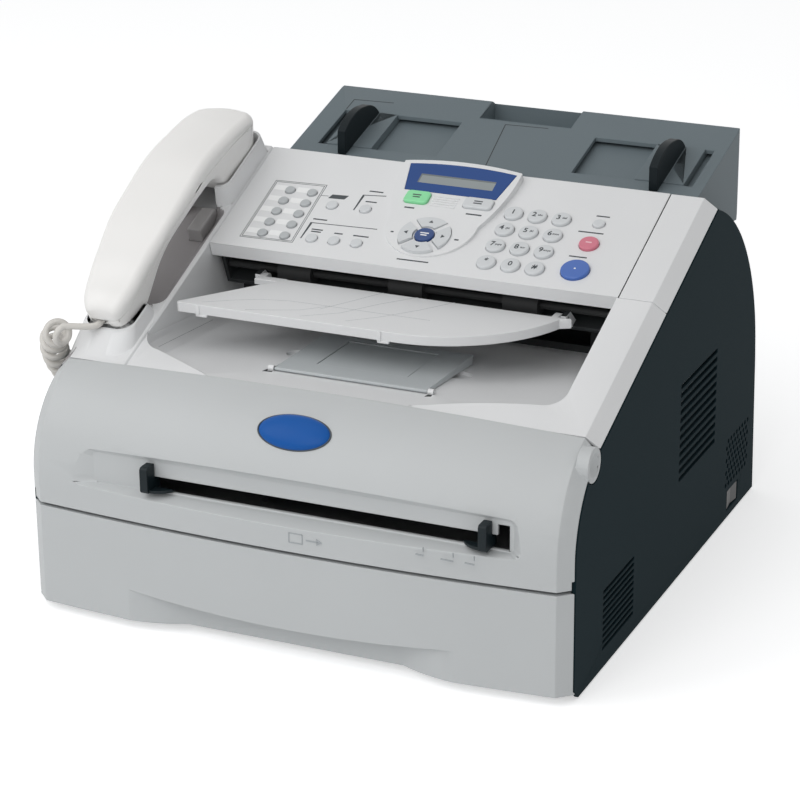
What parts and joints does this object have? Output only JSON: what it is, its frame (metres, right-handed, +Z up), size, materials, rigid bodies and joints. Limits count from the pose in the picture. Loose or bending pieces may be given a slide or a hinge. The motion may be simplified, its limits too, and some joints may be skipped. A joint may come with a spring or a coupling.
{
  "type": "fax machine",
  "caption": "Desktop laser fax machine with corded handset, sloping key panel, paper tray, hand-feed cover and rear document support with sliding guides.",
  "frame": {"origin": "on the ground under the middle of the machine's bounding box without the cord", "axes": "+X to the right seen from the front, +Y to the back, +Z up"},
  "size_m": [0.3925, 0.3769, 0.2733],
  "materials": {
    "badge_plastic": "glossy blue",
    "blue_key_plastic": "blue",
    "board": "green circuit board",
    "cord_rubber": "off-white vinyl",
    "cover_plastic": "satin moulded grey",
    "dark_plastic": "fine grained dark slate",
    "display_glass": "grey liquid crystal",
    "display_pane": "glossy blue",
    "flap_plastic": "satin mid grey",
    "green_key_plastic": "pale green",
    "guide_plastic": "satin dark grey",
    "handset_plastic": "satin moulded off-white",
    "inner_plastic": "black",
    "key_plastic": "satin light grey",
    "light_plastic": "satin moulded light grey",
    "red_key_plastic": "rose",
    "rubber": "matt black",
    "steel": "bare steel",
    "support_plastic": "fine grained grey"
  },
  "bodies": {
    "machine_body": {"chassis_frame": "steel", "left_side_cover": "dark_plastic", "right_side_cover": "dark_plastic", "rear_cover": "dark_plastic", "top_deck": "light_plastic", "handset_cradle": "light_plastic", "document_feed_frame": "light_plastic", "document_support": "support_plastic", "toner_cartridge": "inner_plastic", "drum_unit": "inner_plastic", "fuser_unit": "inner_plastic", "laser_unit": "inner_plastic", "main_board": "board", "power_supply": "inner_plastic", "image_sensor": "inner_plastic", "rubber_feet": "rubber", "cover_screws": "steel", "handset_cord": "cord_rubber"},
    "front_cover": {"front_cover": "cover_plastic", "front_badge": "badge_plastic"},
    "left_feed_guide": {"left_feed_guide": "guide_plastic"},
    "right_feed_guide": {"right_feed_guide": "guide_plastic"},
    "paper_tray": {"paper_tray": "cover_plastic"},
    "tray_lift_plate": {"tray_lift_plate": "steel"},
    "control_panel": {"control_panel": "light_plastic", "display_window": "display_pane", "display_module": "display_glass"},
    "left_document_guide": {"left_document_guide": "support_plastic"},
    "right_document_guide": {"right_document_guide": "support_plastic"},
    "document_output_tray": {"document_output_tray": "light_plastic"},
    "output_flap": {"output_flap": "flap_plastic"},
    "output_flap_extension": {"output_flap_extension": "flap_plastic"},
    "handset": {"handset_back": "handset_plastic", "handset_face": "handset_plastic"},
    "hook_switch": {"hook_switch": "handset_plastic"},
    "power_switch": {"power_switch": "inner_plastic"},
    "rear_door": {"rear_door": "dark_plastic"},
    "feed_roller": {"feed_roller": "rubber"},
    "exit_roller": {"exit_roller": "rubber"},
    "pickup_roller": {"pickup_roller": "rubber"},
    "digit_key_1": {"digit_key_1": "key_plastic"},
    "digit_key_2": {"digit_key_2": "key_plastic"},
    "digit_key_3": {"digit_key_3": "key_plastic"},
    "digit_key_4": {"digit_key_4": "key_plastic"},
    "digit_key_5": {"digit_key_5": "key_plastic"},
    "digit_key_6": {"digit_key_6": "key_plastic"},
    "digit_key_7": {"digit_key_7": "key_plastic"},
    "digit_key_8": {"digit_key_8": "key_plastic"},
    "digit_key_9": {"digit_key_9": "key_plastic"},
    "digit_key_0": {"digit_key_0": "key_plastic"},
    "star_key": {"star_key": "key_plastic"},
    "hash_key": {"hash_key": "key_plastic"},
    "start_key": {"start_key": "blue_key_plastic"},
    "stop_key": {"stop_key": "red_key_plastic"},
    "fax_mode_key": {"fax_mode_key": "green_key_plastic"},
    "copy_mode_key": {"copy_mode_key": "key_plastic"},
    "menu_key": {"menu_key": "display_pane"},
    "arrow_keys": {"arrow_keys": "key_plastic"},
    "one_touch_keys": {"one_touch_keys": "key_plastic"},
    "round_keys": {"round_keys": "key_plastic"}
  },
  "joints": [
    {"name": "front_cover_hinge", "type": "hinge", "parent": "machine_body", "child": "front_cover", "pos_m": [0, -0.184, 0.0805], "axis": [1, 0, 0], "range_deg": [0, 85]},
    {"name": "left_feed_guide_slide", "type": "slide", "parent": "front_cover", "child": "left_feed_guide", "axis": [1, 0, 0], "range_m": [0, 0.065]},
    {"name": "right_feed_guide_slide", "type": "slide", "parent": "front_cover", "child": "right_feed_guide", "axis": [1, 0, 0], "range_m": [-0.065, 0]},
    {"name": "paper_tray_slide", "type": "slide", "parent": "machine_body", "child": "paper_tray", "axis": [0, -1, 0], "range_m": [0, 0.28]},
    {"name": "tray_lift_plate_hinge", "type": "hinge", "parent": "paper_tray", "child": "tray_lift_plate", "pos_m": [0, 0.02, 0.014], "axis": [-1, 0, 0], "range_deg": [0, 8]},
    {"name": "control_panel_hinge", "type": "hinge", "parent": "machine_body", "child": "control_panel", "pos_m": [0, 0.07848, 0.23253], "axis": [-1, 0, 0], "range_deg": [0, 35]},
    {"name": "left_document_guide_slide", "type": "slide", "parent": "machine_body", "child": "left_document_guide", "axis": [1, 0, 0], "range_m": [0, 0.04]},
    {"name": "right_document_guide_slide", "type": "slide", "parent": "machine_body", "child": "right_document_guide", "axis": [1, 0, 0], "range_m": [-0.04, 0]},
    {"name": "document_output_tray_hinge", "type": "hinge", "parent": "machine_body", "child": "document_output_tray", "pos_m": [0, -0.008, 0.1815], "axis": [-1, 0, 0], "range_deg": [0, 40]},
    {"name": "output_flap_hinge", "type": "hinge", "parent": "machine_body", "child": "output_flap", "pos_m": [0, -0.1035, 0.15825], "axis": [1, 0, 0], "range_deg": [0, 12]},
    {"name": "output_flap_extension_hinge", "type": "hinge", "parent": "output_flap", "child": "output_flap_extension", "pos_m": [0, -0.04, 0.15603], "axis": [-1, 0, 0], "range_deg": [0, 12]},
    {"name": "handset_lift", "type": "slide", "parent": "machine_body", "child": "handset", "axis": [0, -0.3677, 0.9299], "range_m": [0, 0.15], "deforming": ["handset_cord"]},
    {"name": "hook_switch_slide", "type": "slide", "parent": "machine_body", "child": "hook_switch", "axis": [0, 0.3677, -0.9299], "range_m": [0, 0.003], "stiffness_N_per_m": 200},
    {"name": "power_switch_rock", "type": "hinge", "parent": "machine_body", "child": "power_switch", "pos_m": [0.18, 0.1365, 0.014], "axis": [0, 0, 1], "range_deg": [-5, 5]},
    {"name": "rear_door_hinge", "type": "hinge", "parent": "machine_body", "child": "rear_door", "pos_m": [0, 0.1816, 0.066], "axis": [-1, 0, 0], "range_deg": [0, 75]},
    {"name": "feed_roller_spin", "type": "hinge", "parent": "machine_body", "child": "feed_roller", "pos_m": [0, 0.05981, 0.20902], "axis": [1, 0, 0], "continuous": true},
    {"name": "exit_roller_spin", "type": "hinge", "parent": "machine_body", "child": "exit_roller", "pos_m": [0, 0.0003, 0.18549], "axis": [1, 0, 0], "continuous": true},
    {"name": "pickup_roller_spin", "type": "hinge", "parent": "machine_body", "child": "pickup_roller", "pos_m": [0, -0.115, 0.092], "axis": [1, 0, 0], "continuous": true},
    {"name": "digit_key_1_press", "type": "slide", "parent": "control_panel", "child": "digit_key_1", "axis": [0, 0.3677, -0.9299], "range_m": [0, 0.001], "stiffness_N_per_m": 400},
    {"name": "digit_key_2_press", "type": "slide", "parent": "control_panel", "child": "digit_key_2", "axis": [0, 0.3677, -0.9299], "range_m": [0, 0.001], "stiffness_N_per_m": 400},
    {"name": "digit_key_3_press", "type": "slide", "parent": "control_panel", "child": "digit_key_3", "axis": [0, 0.3677, -0.9299], "range_m": [0, 0.001], "stiffness_N_per_m": 400},
    {"name": "digit_key_4_press", "type": "slide", "parent": "control_panel", "child": "digit_key_4", "axis": [0, 0.3677, -0.9299], "range_m": [0, 0.001], "stiffness_N_per_m": 400},
    {"name": "digit_key_5_press", "type": "slide", "parent": "control_panel", "child": "digit_key_5", "axis": [0, 0.3677, -0.9299], "range_m": [0, 0.001], "stiffness_N_per_m": 400},
    {"name": "digit_key_6_press", "type": "slide", "parent": "control_panel", "child": "digit_key_6", "axis": [0, 0.3677, -0.9299], "range_m": [0, 0.001], "stiffness_N_per_m": 400},
    {"name": "digit_key_7_press", "type": "slide", "parent": "control_panel", "child": "digit_key_7", "axis": [0, 0.3677, -0.9299], "range_m": [0, 0.001], "stiffness_N_per_m": 400},
    {"name": "digit_key_8_press", "type": "slide", "parent": "control_panel", "child": "digit_key_8", "axis": [0, 0.3677, -0.9299], "range_m": [0, 0.001], "stiffness_N_per_m": 400},
    {"name": "digit_key_9_press", "type": "slide", "parent": "control_panel", "child": "digit_key_9", "axis": [0, 0.3677, -0.9299], "range_m": [0, 0.001], "stiffness_N_per_m": 400},
    {"name": "digit_key_0_press", "type": "slide", "parent": "control_panel", "child": "digit_key_0", "axis": [0, 0.3677, -0.9299], "range_m": [0, 0.001], "stiffness_N_per_m": 400},
    {"name": "star_key_press", "type": "slide", "parent": "control_panel", "child": "star_key", "axis": [0, 0.3677, -0.9299], "range_m": [0, 0.001], "stiffness_N_per_m": 400},
    {"name": "hash_key_press", "type": "slide", "parent": "control_panel", "child": "hash_key", "axis": [0, 0.3677, -0.9299], "range_m": [0, 0.001], "stiffness_N_per_m": 400},
    {"name": "start_key_press", "type": "slide", "parent": "control_panel", "child": "start_key", "axis": [0, 0.3677, -0.9299], "range_m": [0, 0.001], "stiffness_N_per_m": 400},
    {"name": "stop_key_press", "type": "slide", "parent": "control_panel", "child": "stop_key", "axis": [0, 0.3677, -0.9299], "range_m": [0, 0.001], "stiffness_N_per_m": 400},
    {"name": "fax_mode_key_press", "type": "slide", "parent": "control_panel", "child": "fax_mode_key", "axis": [0, 0.3677, -0.9299], "range_m": [0, 0.001], "stiffness_N_per_m": 400},
    {"name": "copy_mode_key_press", "type": "slide", "parent": "control_panel", "child": "copy_mode_key", "axis": [0, 0.3677, -0.9299], "range_m": [0, 0.001], "stiffness_N_per_m": 400},
    {"name": "menu_key_press", "type": "slide", "parent": "control_panel", "child": "menu_key", "axis": [0, 0.3677, -0.9299], "range_m": [0, 0.001], "stiffness_N_per_m": 400},
    {"name": "arrow_keys_press", "type": "slide", "parent": "control_panel", "child": "arrow_keys", "axis": [0, 0.3677, -0.9299], "range_m": [0, 0.001], "stiffness_N_per_m": 400},
    {"name": "one_touch_keys_press", "type": "slide", "parent": "control_panel", "child": "one_touch_keys", "axis": [0, 0.3677, -0.9299], "range_m": [0, 0.001], "stiffness_N_per_m": 400},
    {"name": "round_keys_press", "type": "slide", "parent": "control_panel", "child": "round_keys", "axis": [0, 0.3677, -0.9299], "range_m": [0, 0.001], "stiffness_N_per_m": 400}
  ],
  "couplings": [
    {"joint": "right_feed_guide_slide", "follows": "left_feed_guide_slide", "ratio": -1},
    {"joint": "right_document_guide_slide", "follows": "left_document_guide_slide", "ratio": -1},
    {"joint": "exit_roller_spin", "follows": "feed_roller_spin", "ratio": 1}
  ]
}
